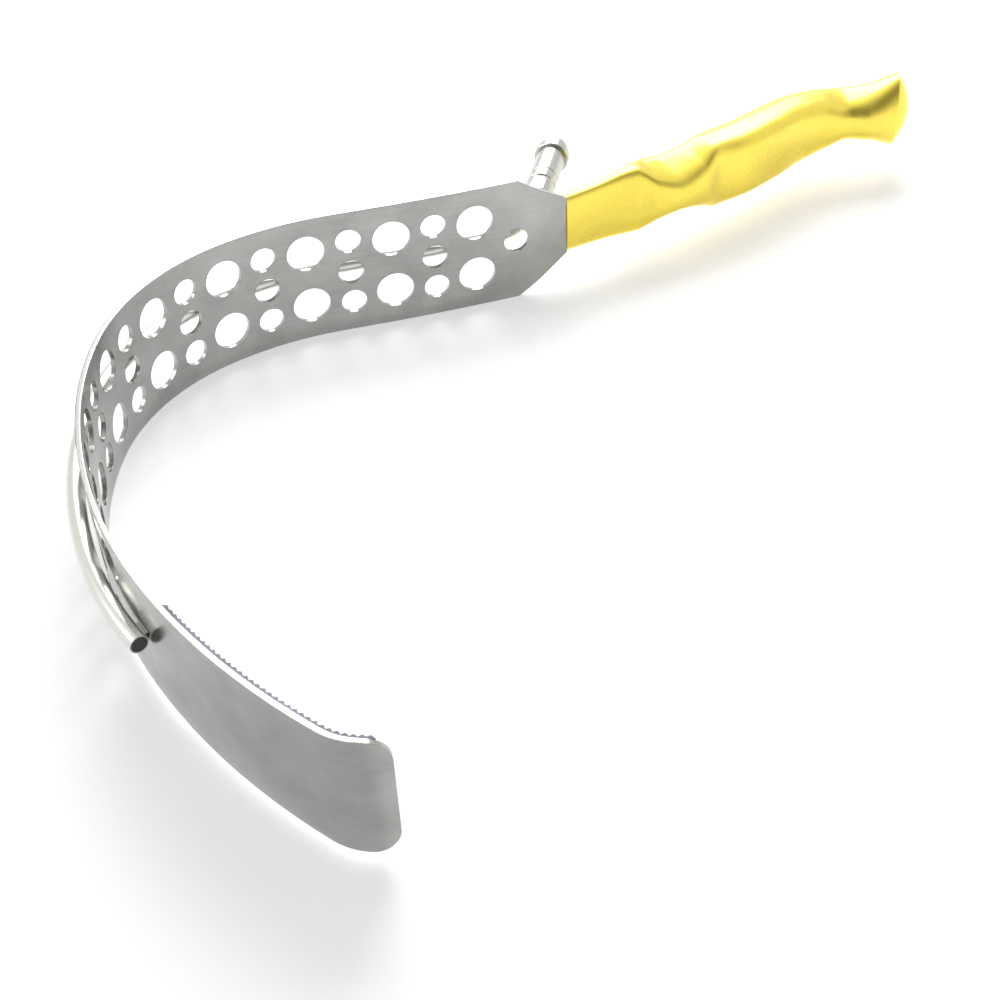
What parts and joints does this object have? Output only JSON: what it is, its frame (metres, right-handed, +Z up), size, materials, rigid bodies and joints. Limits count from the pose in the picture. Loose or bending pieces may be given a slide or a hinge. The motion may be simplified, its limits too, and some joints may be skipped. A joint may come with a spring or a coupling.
{
  "type": "abdominal retractor",
  "caption": "Hand-held lighted abdominal retractor: a perforated J-shaped steel blade with a serrated tip, a hollow gold-coloured grip and a light guide with a screw-off cable adaptor.",
  "frame": {"origin": "on the surface that the retractor stands on, under the middle of its bounding box", "axes": "+X towards the handle, +Z up across the strap's width, and the open side of the J looks to -Y"},
  "size_m": [0.325, 0.2624, 0.044],
  "materials": {
    "blade_steel": "satin",
    "serration_steel": "satin",
    "gold": "satin gold plate",
    "polished_steel": "polished",
    "fibre_glass": "polished fibre ends",
    "window_glass": "polished",
    "seal_rubber": "matt"
  },
  "bodies": {
    "retractor": {"blade_strap": "blade_steel", "serrated_lining": "serration_steel", "handle_neck": "gold", "handle_upper_shell": "gold", "handle_lower_shell": "gold", "pommel_cap": "gold", "light_guide_tube": "polished_steel", "fibre_bundle": "fibre_glass", "distal_ferrule": "polished_steel", "distal_window": "window_glass", "tube_saddles": "polished_steel", "inlet_base": "polished_steel", "inlet_stem": "polished_steel", "inlet_ferrule": "polished_steel", "inlet_window": "window_glass"},
    "adaptor_travel": {"adaptor_seal": "seal_rubber"},
    "adaptor": {"cable_adaptor": "polished_steel", "light_cone": "window_glass", "cone_seal": "seal_rubber", "cone_retainer": "polished_steel"}
  },
  "joints": [
    {"name": "adaptor_unscrew_travel", "type": "slide", "parent": "retractor", "child": "adaptor_travel", "axis": [0.527, 0.8499, 0], "range_m": [0, 0.005]},
    {"name": "adaptor_screw", "type": "hinge", "parent": "adaptor_travel", "child": "adaptor", "pos_m": [0.02, 0.11005, 0.022], "axis": [0.527, 0.8499, 0], "range_deg": [0, 1800]}
  ],
  "couplings": [
    {"joint": "adaptor_unscrew_travel", "follows": "adaptor_screw", "m_per_rad": 0.00015915}
  ]
}
